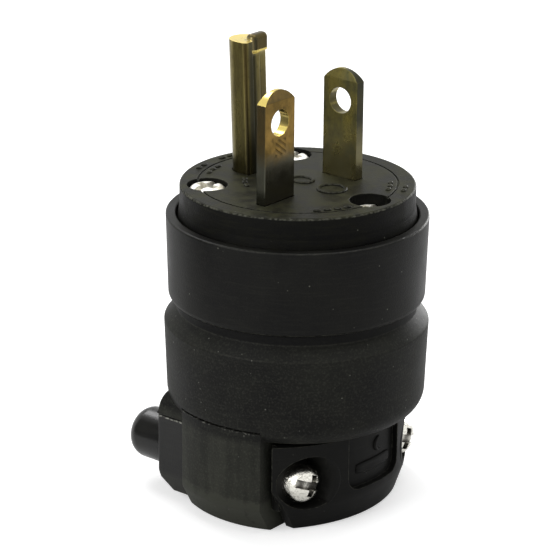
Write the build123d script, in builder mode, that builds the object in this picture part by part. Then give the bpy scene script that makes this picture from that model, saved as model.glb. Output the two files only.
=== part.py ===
"""Grounded plug with one turned blade, a U-folded ground pin and a two-part cord clamp."""
import math
import os

from build123d import *

os.makedirs("parts", exist_ok=True)

# Driving dimensions in millimetres. The plug stands on its cord end, blades up, ground pin towards +Y.

# Heights of the stack, from the standing face upwards
clamp_h = 13.5
shell_h = 16.75
ring_h = 12.6
face_rise = 4.35

# Clearances
fit_gap = 0.2
slot_gap = 0.12
thread_gap = 0.05

# Face insert
face_r = 16.9
face_t = 6.5
face_round = 0.4
insert_flare = 0.3
skirt_t = 1.5
flare_drop = 0.6
flare_h = 1.8
rim_groove_in = 2.45
rim_groove_w = 0.3
rim_groove_d = 0.25

# Front ring
ring_wall = 1.5
ring_draft = 0.35
ring_low_round = 0.9
ring_top_round = 0.3
lip_t = 2.0

# Rear shell
neck_step = 1.1
neck_h = 1.55
neck_wall = 2.2
shoulder_w = 1.75
shoulder_h = 1.9
shoulder_round = 0.5
shell_draft = 0.5
shell_low_round = 3.2
floor_t = 3.0
boss_wall = 1.2

# Cheeks of the rear shell, beside the cord
cheek_step = 0.1
cheek_in = 9.1
cheek_front = 7.45
cheek_back = 7.0
cheek_foot_in = 1.95
cheek_bevel_h = 3.7
cheek_ledge = 2.0
seam_h = 0.35
seam_d = 0.5
cheek_blend = 2.0
cheek_round = 0.6

# Hood of the rear shell, over the rear clamp
hood_drop = 0.7
hood_h = 4.5
hood_taper = 26.0

# Cord and clamp
cord_r = 6.5
cord_hole_r = 8.4
jaw_gap = 5.0
clamp_screw_in = 2.1
clamp_screw_z = 7.05
clamp_float = 0.95

# Front clamp
panel_r = 21.2
panel_axis_y = 5.9
panel_foot_in = 1.35
panel_taper_h = 4.2
panel_blend = 4.0
panel_lift = 0.1
panel_seat_y = 8.9
panel_bore_r = 4.05
panel_bore_up = 0.4
panel_corner_w = 3.4
panel_corner_h = 6.4
pad_half = 14.6
pocket_w = 11.4
pocket_z = 4.9
pocket_d = 0.9
pocket_round = 2.0

# Rear clamp
rear_half_w = 15.6
rear_t = 6.3
rear_lift = 1.4
rear_bevel_h = 3.0
rear_bevel_d = 3.2
rear_bulge = 0.75
rear_round = 0.5
button_r = 3.85
button_len = 7.1
button_round = 2.4
button_wall = 1.6

# Blades and ground pin
neutral_w = 6.35
hot_w = 6.0
blade_t = 1.52
blade_len = 16.0
blade_tip_h = 1.7
blade_wedge_h = 1.5
blade_tip_t = 0.6
blade_hole_r = 1.9
blade_hole_h = 11.35
neutral_y = -2.88
hot_y = -3.05
hot_x = 6.35
neutral_x = -8.6
ground_gap = 11.89
pin_r = 2.4
pin_wall = 1.6
pin_leg = 1.9
pin_leg_round = 0.6
pin_channel_in = 0.7
pin_len = 19.45
pin_cap_h = 1.6
pin_lean = 1.8
pin_lean_turn = 129.0
pin_nose_rise = 0.9
pin_nose_h = 2.5
pin_nose_lip = 0.3
pin_nose_back = 0.45
pin_nose_out = 0.1
pin_nose_round = 0.7

# Terminals
foot_t = 1.6
foot_round = 2.0
terminal_reach = 3.4
ground_reach = 5.0
terminal_end = 3.4
chamber_w = 6.4
chamber_round = 1.5
plate_w = 5.6
plate_t = 1.2
terminal_head_r = 2.7
terminal_head_h = 2.2

# Screws and threaded inserts
screw_r = 1.75
screw_clear = 0.2
head_r = 2.8
head_h = 2.5
head_round = 1.3
head_clear = 0.15
slot_w = 1.2
slot_d = 1.2
cross_len = 3.2
clamp_head_r = 2.8
clamp_head_h = 3.5
clamp_head_round = 2.0
clamp_screw_turn = -22.0
face_screw_edge = 3.9
face_screw_angles = (43.0, 137.0, 270.0)
face_head_depths = (2.6, 2.6, 3.7)
thread_insert_wall = 0.75
shell_insert_len = 7.0
clamp_insert_len = 6.0
screw_past = 1.5

# Levels and radii that follow
shell_z = clamp_h
floor_z = shell_z + floor_t
seat_z = shell_z + shell_h
lip_z = seat_z + lip_t
ring_top_z = seat_z + ring_h
face_z = ring_top_z + face_rise
plate_z = face_z - face_t
foot_z = plate_z - foot_t
insert_r = face_r + insert_flare
ring_bore_r = insert_r + fit_gap
ring_r = ring_bore_r + ring_wall
ring_low_r = ring_r - ring_draft
neck_r = ring_low_r - neck_step
neck_z = seat_z - neck_h
shoulder_z = neck_z - shoulder_h
shell_r = neck_r + shoulder_w
shell_low_r = shell_r - shell_draft
cheek_r = shell_low_r - cheek_step
cavity_r = neck_r - neck_wall
skirt_in_r = insert_r - skirt_t
block_r = skirt_in_r - fit_gap
lip_in_r = block_r + fit_gap
clamp_top_z = shell_z - fit_gap
seam_z = shell_z + cheek_ledge
hood_z = shell_z - hood_drop
rear_top_z = hood_z - fit_gap
hot_place = (hot_x, hot_y)
neutral_place = (neutral_x, neutral_y)
ground_place = (0.0, neutral_y + ground_gap)
hot_screw_place = (hot_x + terminal_reach, hot_y)
neutral_screw_place = (neutral_x, neutral_y + terminal_reach)
ground_screw_place = (0.0, ground_place[1] - ground_reach)
terminal_places = (hot_screw_place, neutral_screw_place, ground_screw_place)
face_screw_circle = face_r - face_screw_edge
face_screw_places = [
    (face_screw_circle * math.cos(math.radians(a)), face_screw_circle * math.sin(math.radians(a)))
    for a in face_screw_angles
]
clamp_screw_x = cheek_in + clamp_screw_in
clamp_screw_places = [(-clamp_screw_x, clamp_screw_z), (clamp_screw_x, clamp_screw_z)]
thread_r = screw_r + thread_gap
screw_hole_r = screw_r + screw_clear
thread_insert_r = thread_r + thread_insert_wall
panel_back_y = cheek_front + clamp_float
pad_back_y = cheek_front + fit_gap
rear_front_y = cheek_back + fit_gap
rear_back_y = cheek_back + rear_t
jaw_half = cheek_in - fit_gap
button_end_y = rear_back_y + button_len


def save(piece, label):
    """Labels a finished piece and writes it as a STEP file of that name."""
    piece.label = label
    export_step(piece, f"parts/{label}.step")


def make_blade(place, width_dir, width):
    """Flat blade with a round wedge-shaped tip, a hole and a terminal foot bent square to its side."""
    base = Plane(origin=(place[0], place[1], foot_z), x_dir=width_dir, z_dir=(0, 0, 1))
    upright = Plane(origin=base.origin, x_dir=base.x_dir, z_dir=-base.y_dir)
    edge_on = Plane(origin=base.origin, x_dir=base.y_dir, z_dir=base.x_dir)
    tip = face_z + blade_len - foot_z
    half = width / 2
    foot_len = terminal_reach + terminal_end + blade_t / 2
    with BuildPart() as blade:
        with BuildSketch(upright):
            with BuildLine():
                side_h = tip - blade_tip_h
                sides = Polyline((-half, side_h), (-half, 0), (half, 0), (half, side_h))
                ThreePointArc(sides @ 1, (0, tip), sides @ 0)
            make_face()
            with Locations((0, face_z + blade_hole_h - foot_z)):
                Circle(blade_hole_r, mode=Mode.SUBTRACT)
        extrude(amount=blade_t, both=True)
        with BuildSketch(edge_on):
            with BuildLine():
                Polyline(
                    (-blade_t / 2, 0),
                    (blade_t / 2, 0),
                    (blade_t / 2, tip - blade_wedge_h),
                    (blade_tip_t / 2, tip),
                    (-blade_tip_t / 2, tip),
                    (-blade_t / 2, tip - blade_wedge_h),
                    close=True,
                )
            make_face()
        extrude(amount=width, both=True, mode=Mode.INTERSECT)
        with BuildSketch(base) as foot:
            with Locations((0, foot_len / 2 - blade_t / 2)):
                Rectangle(width, foot_len)
            fillet(foot.vertices().group_by(Axis.Y)[-1], foot_round)
            with Locations((0, terminal_reach)):
                Circle(thread_r, mode=Mode.SUBTRACT)
        extrude(amount=foot_t)
    return blade.part


def draw_pin_outline(radius, leg):
    """Draws a half circle with two straight legs in the sketch that is open."""
    Circle(radius)
    with Locations((0, -radius / 2)):
        Rectangle(2 * radius, radius, mode=Mode.SUBTRACT)
    with Locations((0, -leg / 2)):
        Rectangle(2 * radius, leg)


def make_screw(seat, radius, height, edge_round, length):
    """Round-headed screw on a seat plane, its shank going down from the seat, with a slot and a cross."""
    with BuildPart() as screw:
        with BuildSketch(seat):
            Circle(radius)
        extrude(amount=height)
        top = screw.faces().sort_by(Axis(seat.origin, seat.z_dir))[-1]
        fillet(top.edges(), edge_round)
        with BuildSketch(seat.offset(height)):
            Rectangle(2 * radius, slot_w)
            Rectangle(slot_w, cross_len)
        extrude(amount=-slot_d, mode=Mode.SUBTRACT)
        with BuildSketch(seat):
            Circle(screw_r)
        extrude(amount=-length)
    return screw.part


def make_thread_insert(mouth, length):
    """Plain threaded insert that goes down from its mouth plane."""
    with BuildPart() as insert:
        with BuildSketch(mouth):
            Circle(thread_insert_r)
            Circle(thread_r, mode=Mode.SUBTRACT)
        extrude(amount=-length)
    return insert.part


# Face insert: a thick face on a skirt, flared where it enters the ring
with BuildPart() as face_insert:
    with BuildSketch(Plane.XZ) as outline:
        with BuildLine():
            Polyline(
                (0, plate_z),
                (skirt_in_r, plate_z),
                (skirt_in_r, lip_z),
                (insert_r, lip_z),
                (insert_r, ring_top_z - flare_drop),
                (face_r, ring_top_z - flare_drop + flare_h),
                (face_r, face_z),
                (0, face_z),
                close=True,
            )
        make_face()
        fillet(outline.vertices().group_by(Axis.Y)[-1].sort_by(Axis.X)[-1], face_round)
    revolve(axis=Axis.Z)
    with BuildSketch(Plane.XY.offset(face_z)):
        Circle(face_r - rim_groove_in)
        Circle(face_r - rim_groove_in - rim_groove_w, mode=Mode.SUBTRACT)
    extrude(amount=-rim_groove_d, mode=Mode.SUBTRACT)
    with BuildSketch(Plane.XY.offset(plate_z)):
        with Locations(hot_place):
            Rectangle(blade_t + 2 * slot_gap, hot_w + 2 * slot_gap)
        with Locations(neutral_place):
            Rectangle(neutral_w + 2 * slot_gap, blade_t + 2 * slot_gap)
        with Locations(ground_place):
            draw_pin_outline(pin_r + slot_gap, pin_leg + slot_gap)
    extrude(amount=face_t, mode=Mode.SUBTRACT)
    for (x, y), depth in zip(face_screw_places, face_head_depths):
        with Locations((x, y, face_z)):
            CounterBoreHole(screw_hole_r, head_r + head_clear, depth)
save(face_insert.part, "face_insert")

# Front ring: a tapered sleeve with an inner lip that is held between the face insert and the rear shell
with BuildPart() as front_ring:
    with BuildSketch(Plane.XZ) as outline:
        with BuildLine():
            Polyline(
                (lip_in_r, seat_z),
                (ring_low_r, seat_z),
                (ring_r, ring_top_z),
                (ring_bore_r, ring_top_z),
                (ring_bore_r, lip_z),
                (lip_in_r, lip_z),
                close=True,
            )
        make_face()
        fillet(outline.vertices().group_by(Axis.Y)[0].sort_by(Axis.X)[-1], ring_low_round)
        fillet(outline.vertices().group_by(Axis.Y)[-1], ring_top_round)
    revolve(axis=Axis.Z)
save(front_ring.part, "front_ring")

# Terminal block: a disc behind the face with a seat for each foot and a chamber below each terminal screw
with BuildPart() as terminal_block:
    with BuildSketch(Plane.XY.offset(seat_z)):
        Circle(block_r)
    extrude(amount=plate_z - seat_z)
    with BuildSketch(Plane.XY.offset(foot_z)):
        seat_len = terminal_reach + terminal_end + blade_t / 2 + 2 * slot_gap
        seat_shift = (terminal_reach + terminal_end - blade_t / 2) / 2
        with Locations((hot_x + seat_shift, hot_y)):
            Rectangle(seat_len, hot_w + 2 * slot_gap)
        with Locations((neutral_x, neutral_y + seat_shift)):
            Rectangle(neutral_w + 2 * slot_gap, seat_len)
        ground_seat_len = ground_reach + terminal_end + pin_r + 2 * slot_gap
        ground_shift = (ground_reach + terminal_end - pin_r) / 2
        with Locations((ground_place[0], ground_place[1] - ground_shift)):
            Rectangle(neutral_w + 2 * slot_gap, ground_seat_len)
    extrude(amount=foot_t, mode=Mode.SUBTRACT)
    with BuildSketch(Plane.XY.offset(seat_z)):
        with Locations(*terminal_places):
            RectangleRounded(chamber_w, chamber_w, chamber_round)
        with Locations(*face_screw_places):
            Circle(screw_hole_r)
    extrude(amount=plate_z - seat_z, mode=Mode.SUBTRACT)
save(terminal_block.part, "terminal_block")

# Rear shell: a cup with a shouldered grip, two cheeks below it and a hood over the rear clamp
with BuildPart() as rear_shell:
    with BuildSketch(Plane.XZ) as outline:
        with BuildLine():
            Polyline(
                (0, 0),
                (cheek_r - cheek_foot_in, 0),
                (cheek_r, cheek_bevel_h),
                (cheek_r, seam_z),
                (0, seam_z),
                close=True,
            )
        make_face()
        fillet(outline.vertices().group_by(Axis.X)[-1].sort_by(Axis.Y)[0], cheek_blend)
        fillet(outline.vertices().group_by(Axis.Y)[0].sort_by(Axis.X)[-1], cheek_round)
    revolve(axis=Axis.Z)
    front_turn = math.degrees(math.asin(cheek_front / cheek_r))
    back_turn = math.degrees(math.asin(cheek_back / cheek_r))
    with BuildSketch():
        cheek_x = (cheek_in + cheek_r) / 2
        cheek_y = (cheek_back - cheek_front) / 2
        with Locations((-cheek_x, cheek_y), (cheek_x, cheek_y)):
            Rectangle(cheek_r - cheek_in, cheek_front + cheek_back)
    extrude(amount=seam_z, mode=Mode.INTERSECT)
    with BuildSketch(Plane.XZ) as outline:
        with BuildLine():
            Polyline(
                (0, shell_z),
                (shell_low_r, shell_z),
                (shell_r, shoulder_z),
                (neck_r, neck_z),
                (neck_r, seat_z),
                (0, seat_z),
                close=True,
            )
        make_face()
        fillet(outline.vertices().sort_by(Axis.X)[-1], shoulder_round)
        fillet(outline.vertices().group_by(Axis.Y)[0].sort_by(Axis.X)[-1], shell_low_round)
    revolve(axis=Axis.Z)
    for start in (-front_turn, 180 - back_turn):
        start_dir = Vector(1, 0, 0).rotate(Axis.Z, start)
        with BuildSketch(Plane(origin=(0, 0, 0), x_dir=start_dir, z_dir=start_dir.cross(Vector(0, 0, 1)))):
            with Locations((cheek_r, seam_z + seam_h / 2)):
                Rectangle(2 * seam_d, seam_h)
        revolve(axis=Axis.Z, revolution_arc=front_turn + back_turn, mode=Mode.SUBTRACT)
    with BuildSketch(Plane.XY.offset(hood_z)):
        with Locations((0, (rear_front_y + rear_back_y) / 2)):
            Rectangle(2 * rear_half_w, rear_back_y - rear_front_y)
    extrude(amount=hood_h, taper=hood_taper)
    with BuildSketch(Plane.XY.offset(floor_z)):
        Circle(cavity_r)
    extrude(amount=shell_h, mode=Mode.SUBTRACT)
    with BuildSketch(Plane.XY.offset(floor_z)):
        with Locations(*face_screw_places):
            Circle(thread_insert_r + boss_wall)
    extrude(amount=seat_z - floor_z)
    with BuildSketch():
        Circle(cord_hole_r)
    extrude(amount=floor_z, mode=Mode.SUBTRACT)
    with Locations(*[(x, y, seat_z) for x, y in face_screw_places]):
        CounterBoreHole(screw_hole_r, thread_insert_r, shell_insert_len, shell_insert_len + 2 * screw_past)
    with BuildSketch(Plane.XZ):
        with Locations(*clamp_screw_places):
            Circle(screw_hole_r)
    extrude(amount=cheek_r, both=True, mode=Mode.SUBTRACT)
save(rear_shell.part, "rear_shell")

# Cutter for the bare pocket of the front clamp, with a floor that follows the panel
turn_axis = Axis((0, panel_axis_y, 0), (0, 0, 1))
panel_half = math.sqrt(panel_r**2 - (panel_back_y + panel_axis_y) ** 2)
panel_axis = Plane(origin=turn_axis.position, x_dir=(1, 0, 0), z_dir=(0, -1, 0))
with BuildPart() as pocket_cutter:
    with BuildSketch(Plane.XZ.offset(panel_back_y)):
        with Locations((0, clamp_top_z)):
            RectangleRounded(pocket_w, 2 * (clamp_top_z - pocket_z), pocket_round)
    extrude(amount=panel_r)
    with BuildSketch(Plane.XY.offset(panel_lift)):
        with Locations((0, panel_axis_y)):
            Circle(panel_r - pocket_d)
    extrude(amount=2 * clamp_top_z, mode=Mode.SUBTRACT)

# Front clamp: a panel turned about an axis behind the cord, with a jaw, two counterbores and a bare pocket
with BuildPart() as front_clamp:
    with BuildSketch(panel_axis) as outline:
        with BuildLine():
            Polyline(
                (0, panel_lift),
                (panel_r - panel_foot_in, panel_lift),
                (panel_r, panel_taper_h),
                (panel_r, clamp_top_z),
                (0, clamp_top_z),
                close=True,
            )
        make_face()
        fillet(outline.vertices().group_by(Axis.X)[-1].sort_by(Axis.Y)[0], panel_blend)
    revolve(axis=turn_axis)
    with BuildSketch(Plane.XZ.offset(panel_back_y)):
        with BuildLine():
            Polyline(
                (-panel_half, clamp_top_z),
                (-panel_half, panel_lift + panel_corner_h),
                (-panel_half + panel_corner_w, panel_lift),
                (panel_half - panel_corner_w, panel_lift),
                (panel_half, panel_lift + panel_corner_h),
                (panel_half, clamp_top_z),
                close=True,
            )
        make_face()
    extrude(amount=panel_r, mode=Mode.INTERSECT)
    with BuildSketch(Plane.XY.offset(panel_lift + panel_corner_h / 2)):
        with Locations((0, -(pad_back_y + panel_seat_y) / 2)):
            Rectangle(2 * pad_half, panel_seat_y - pad_back_y)
    extrude(amount=clamp_top_z - panel_lift - panel_corner_h / 2)
    with BuildSketch(Plane.XY.offset(panel_lift)):
        with Locations((0, -(jaw_gap / 2 + panel_back_y) / 2)):
            Rectangle(2 * jaw_half, panel_back_y - jaw_gap / 2)
        Circle(cord_r, mode=Mode.SUBTRACT)
    extrude(amount=clamp_top_z - panel_lift)
    with BuildSketch(Plane.XZ):
        with Locations(*clamp_screw_places):
            Circle(screw_hole_r)
    extrude(amount=panel_r, mode=Mode.SUBTRACT)
    with BuildSketch(Plane.XZ.offset(panel_seat_y)):
        with Locations(*[(x, z + panel_bore_up) for x, z in clamp_screw_places]):
            Circle(panel_bore_r)
    extrude(amount=panel_r, mode=Mode.SUBTRACT)
    add(pocket_cutter.part, mode=Mode.SUBTRACT)
save(front_clamp.part, "front_clamp")

# Rear clamp: a bevelled block with a jaw and two round-ended bosses for the screw ends
with BuildPart() as rear_clamp:
    with BuildSketch(Plane.YZ):
        with BuildLine():
            Polyline(
                (rear_front_y, rear_top_z),
                (rear_front_y, rear_lift),
                (rear_back_y - rear_bevel_d, rear_lift),
                (rear_back_y - rear_bulge, rear_lift + rear_bevel_h / 2),
                (rear_back_y, rear_lift + rear_bevel_h),
                (rear_back_y, rear_top_z),
                close=True,
            )
        make_face()
    extrude(amount=rear_half_w, both=True)
    fillet(rear_clamp.edges().filter_by(Axis.Z).group_by(Axis.Y)[-1], rear_round)
    with BuildSketch(Plane.XZ.offset(-rear_front_y)):
        with Locations(*clamp_screw_places):
            Circle(button_r)
    extrude(amount=-(button_end_y - rear_front_y))
    fillet(rear_clamp.edges().filter_by(GeomType.CIRCLE).group_by(Axis.Y)[-1], button_round)
    with BuildSketch(Plane.XY.offset(rear_lift)):
        with Locations((0, (jaw_gap / 2 + rear_front_y) / 2)):
            Rectangle(2 * jaw_half, rear_front_y - jaw_gap / 2)
        Circle(cord_r, mode=Mode.SUBTRACT)
    extrude(amount=rear_top_z - rear_lift)
    with BuildSketch(Plane.XZ.offset(-button_end_y + button_wall)):
        with Locations(*clamp_screw_places):
            Circle(screw_hole_r)
    extrude(amount=button_end_y, mode=Mode.SUBTRACT)
    with BuildSketch(Plane.XZ.offset(-rear_front_y - clamp_insert_len)):
        with Locations(*clamp_screw_places):
            Circle(thread_insert_r)
    extrude(amount=clamp_insert_len, mode=Mode.SUBTRACT)
save(rear_clamp.part, "rear_clamp")

# Blades and ground pin
save(make_blade(hot_place, (0, -1, 0), hot_w), "hot_blade")
save(make_blade(neutral_place, (1, 0, 0), neutral_w), "neutral_blade")

lean = math.radians(pin_lean)
lean_dir = Vector(0, math.sin(lean), math.cos(lean)).rotate(Axis.Z, pin_lean_turn - 90)
pin_base = Vector(*ground_place, face_z)
cap_base = pin_base + lean_dir * (pin_len - pin_cap_h)
nose_base = pin_base + lean_dir * (pin_len + pin_nose_rise - pin_nose_h)
channel_r = pin_r - pin_wall
with BuildPart() as ground_pin:
    with BuildSketch(Plane(origin=nose_base)):
        nose_low_x = -channel_r - pin_nose_out
        nose_low_y = -pin_leg - pin_nose_lip
        with Locations((nose_low_x, nose_low_y)):
            Rectangle(pin_r + pin_nose_out - nose_low_x, -pin_nose_back - nose_low_y, align=Align.MIN)
    extrude(amount=pin_nose_h)
    nose_top = ground_pin.faces().sort_by(Axis.Z)[-1]
    fillet(nose_top.edges() + ground_pin.edges().filter_by(Axis.Z), pin_nose_round)
    with BuildSketch(Plane(origin=cap_base)) as outline:
        draw_pin_outline(pin_r, pin_leg)
        fillet(outline.vertices().group_by(Axis.Y)[0], pin_leg_round)
    extrude(amount=pin_cap_h, dir=lean_dir)
    for start, length, way in (
        (Vector(*ground_place, foot_z), face_z - foot_z, Vector(0, 0, 1)),
        (pin_base, pin_len - pin_cap_h, lean_dir),
    ):
        with BuildSketch(Plane(origin=start)) as outline:
            draw_pin_outline(pin_r, pin_leg)
            fillet(outline.vertices().group_by(Axis.Y)[0], pin_leg_round)
            with Locations((0, -pin_channel_in)):
                Circle(channel_r, mode=Mode.SUBTRACT)
            with Locations((0, -(pin_leg + pin_channel_in) / 2)):
                Rectangle(2 * channel_r, pin_leg - pin_channel_in, mode=Mode.SUBTRACT)
        extrude(amount=length, dir=way)
    with BuildSketch(Plane.XY.offset(foot_z)):
        with Locations((0, ground_place[1] - (ground_reach + terminal_end - pin_r) / 2)):
            Rectangle(neutral_w, ground_reach + terminal_end + pin_r)
        with Locations(ground_screw_place):
            Circle(thread_r, mode=Mode.SUBTRACT)
    extrude(amount=foot_t)
save(ground_pin.part, "ground_pin")

# Terminal screws and pressure plates
for label, place in zip(("hot", "neutral", "ground"), terminal_places):
    with BuildPart() as plate:
        with BuildSketch(Plane.XY.offset(foot_z - plate_t)):
            with Locations(place):
                RectangleRounded(plate_w, plate_w, chamber_round)
                Circle(screw_hole_r, mode=Mode.SUBTRACT)
        extrude(amount=plate_t)
    save(plate.part, f"{label}_pressure_plate")
    seat = Plane(origin=(place[0], place[1], foot_z - plate_t), z_dir=(0, 0, -1))
    screw = make_screw(seat, terminal_head_r, terminal_head_h, head_round, plate_t + foot_t)
    save(screw, f"{label}_terminal_screw")

# Assembly screws from the face into the inserts of the rear shell
for number, ((x, y), depth) in enumerate(zip(face_screw_places, face_head_depths), start=1):
    seat = Plane(origin=(x, y, face_z - depth))
    length = face_z - depth - seat_z + shell_insert_len + screw_past
    save(make_screw(seat, head_r, head_h, head_round, length), f"assembly_screw_{number}")
    save(make_thread_insert(Plane(origin=(x, y, seat_z)), shell_insert_len), f"shell_insert_{number}")

# Clamp screws from the front clamp into the inserts of the rear clamp
turned = Vector(1, 0, 0).rotate(Axis.Y, -clamp_screw_turn)
for side, (x, z) in zip(("left", "right"), clamp_screw_places):
    seat = Plane(origin=(x, -panel_seat_y, z), x_dir=turned, z_dir=(0, -1, 0))
    mouth = Plane(origin=(x, rear_front_y, z), x_dir=(1, 0, 0), z_dir=(0, -1, 0))
    length = panel_seat_y + rear_front_y + clamp_insert_len + screw_past
    save(make_screw(seat, clamp_head_r, clamp_head_h, clamp_head_round, length), f"clamp_screw_{side}")
    save(make_thread_insert(mouth, clamp_insert_len), f"clamp_insert_{side}")
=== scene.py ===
"""Looks of a black grounded plug that stands on its cord end: finishes, moulded marks, light and camera."""
import logging
import math
from dataclasses import dataclass
from enum import Enum
from functools import cached_property
from typing import Any, ClassVar, Optional

import bpy
import numpy as np
from mathutils import Matrix, Vector


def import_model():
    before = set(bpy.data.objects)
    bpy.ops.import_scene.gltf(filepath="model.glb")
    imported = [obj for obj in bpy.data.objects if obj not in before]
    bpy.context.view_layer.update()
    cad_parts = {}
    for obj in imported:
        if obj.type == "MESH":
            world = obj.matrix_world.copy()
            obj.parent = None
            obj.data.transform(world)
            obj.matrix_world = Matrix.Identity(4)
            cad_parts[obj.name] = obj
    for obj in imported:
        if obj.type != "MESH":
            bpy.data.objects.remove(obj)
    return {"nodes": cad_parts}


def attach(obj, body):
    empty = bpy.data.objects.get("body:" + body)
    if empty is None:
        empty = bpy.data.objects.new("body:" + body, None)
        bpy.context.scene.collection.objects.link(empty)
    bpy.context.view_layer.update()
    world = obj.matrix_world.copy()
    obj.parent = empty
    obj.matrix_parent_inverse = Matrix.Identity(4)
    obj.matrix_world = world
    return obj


LOG = logging.getLogger("plug")
MM = 0.001
BODY = "root"
WHITE = (1.0, 1.0, 1.0, 1.0)
# Farther out than any point of the plug, for a mark that a finish goes without
NOWHERE_MM = 1000.0
BEVEL_SAMPLES = 6
SHADE_SAMPLES = 8
# Rows of a tapered piece stop just short of its tips, which then close to a point each
TAPER = np.linspace(0.02, 0.98, 33)

Material = bpy.types.Material
Node = bpy.types.Node
Tree = bpy.types.NodeTree
Piece = bpy.types.Object
Materials = dict[Any, Material]
Pair = tuple[float, float]
Triple = tuple[float, float, float]
Quad = tuple[float, float, float, float]
Array = np.ndarray


class Slot(Enum):
    """Material slots of the record."""

    FACE = "face_plastic"
    SHELL = "shell_plastic"
    CLAMP = "clamp_plastic"
    BLADE = "blade_brass"


def linear(code: str) -> Quad:
    """Turns an sRGB hex colour into linear RGBA.

    Args:
        code: Six hex digits with a leading hash.

    Returns:
        The linear red, green and blue with an alpha of one.
    """
    srgb = np.array([int(code[i:i + 2], 16) for i in (1, 3, 5)]) / 255.0
    lin = np.where(srgb <= 0.04045, srgb / 12.92, ((srgb + 0.055) / 1.055) ** 2.4)
    return (float(lin[0]), float(lin[1]), float(lin[2]), 1.0)


def per_mm(sizes: Triple) -> Triple:
    """Turns the sizes of a pattern in millimetres into its scale along each axis."""
    return (1 / sizes[0], 1 / sizes[1], 1 / sizes[2])


def add(tree: Tree, kind: str, inputs: Any = (), **settings: Any) -> Node:
    """Adds a shader node with its settings, socket values and incoming links.

    Args:
        tree: Node tree that gets the node.
        kind: Node type without its ShaderNode prefix, then its operation if it has one.
        inputs: What feeds the sockets, in their order, or by number or by the name of one in use. Each is a
            plain value, an output, or a node whose first output in use is taken.
        **settings: Attributes of the node.

    Returns:
        The new node.
    """
    kind, *operation = kind.split()
    node = tree.nodes.new("ShaderNode" + kind)
    if operation:
        node.operation = operation[0]
    for key, value in settings.items():
        setattr(node, key, value)
    for key, value in inputs.items() if isinstance(inputs, dict) else enumerate(inputs):
        socket = node.inputs[key]
        if isinstance(key, str):
            socket = next(each for each in node.inputs if each.enabled and each.name == key)
        if isinstance(value, Node):
            value = next(each for each in value.outputs if each.enabled)
        if isinstance(value, bpy.types.NodeSocket):
            tree.links.new(value, socket)
        else:
            socket.default_value = value
    return node


class Canvas:
    """Node material in work, with the inputs that patterns share, each added when it is first read."""

    def __init__(self, name: str, edge_mm: float = 0.0) -> None:
        """Starts the material.

        Args:
            name: Name of the material, after the real one.
            edge_mm: Radius that sharp edges are shaded with.
        """
        self.material = bpy.data.materials.new(name)
        self.material.use_nodes = True
        self.tree = self.material.node_tree
        self.tree.nodes.clear()
        self.edge_mm = edge_mm

    @cached_property
    def point(self) -> Node:
        """Point in Object coordinates, in millimetres."""
        coords = add(self.tree, "TexCoord").outputs["Object"]
        return add(self.tree, "VectorMath SCALE", {0: coords, "Scale": 1 / MM})

    @cached_property
    def place(self) -> Any:
        """Outputs with the point's X, Y and Z."""
        return add(self.tree, "SeparateXYZ", (self.point,)).outputs

    @cached_property
    def normal(self) -> Any:
        """Output with the surface normal."""
        return add(self.tree, "NewGeometry").outputs["Normal"]

    @cached_property
    def rise(self) -> Any:
        """Output with the upward part of the normal."""
        return add(self.tree, "SeparateXYZ", (self.normal,)).outputs["Z"]

    @cached_property
    def bevel(self) -> Node:
        """Normal that is rounded at edges."""
        return add(self.tree, "Bevel", {"Radius": self.edge_mm * MM}, samples=BEVEL_SAMPLES)

    def paint(self, base: str, layers: tuple[tuple[Any, str], ...]) -> Any:
        """Lays colours over one another.

        Args:
            base: Colour of the bare material.
            layers: Share and colour of each layer, from below. One with None as its share is left out.

        Returns:
            The node with the colour.
        """
        colour: Any = linear(base)
        for share, code in layers:
            if share is not None:
                values = {"Factor": share, "A": colour, "B": linear(code)}
                colour = add(self.tree, "Mix", values, data_type="RGBA")
        return colour

    def close(self, kind: str, values: dict[str, Any]) -> Material:
        """Adds the shader and the output.

        Args:
            kind: Node type of the shader.
            values: What feeds the shader.

        Returns:
            The finished material.
        """
        add(self.tree, "OutputMaterial", {"Surface": add(self.tree, kind, values)})
        return self.material


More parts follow.
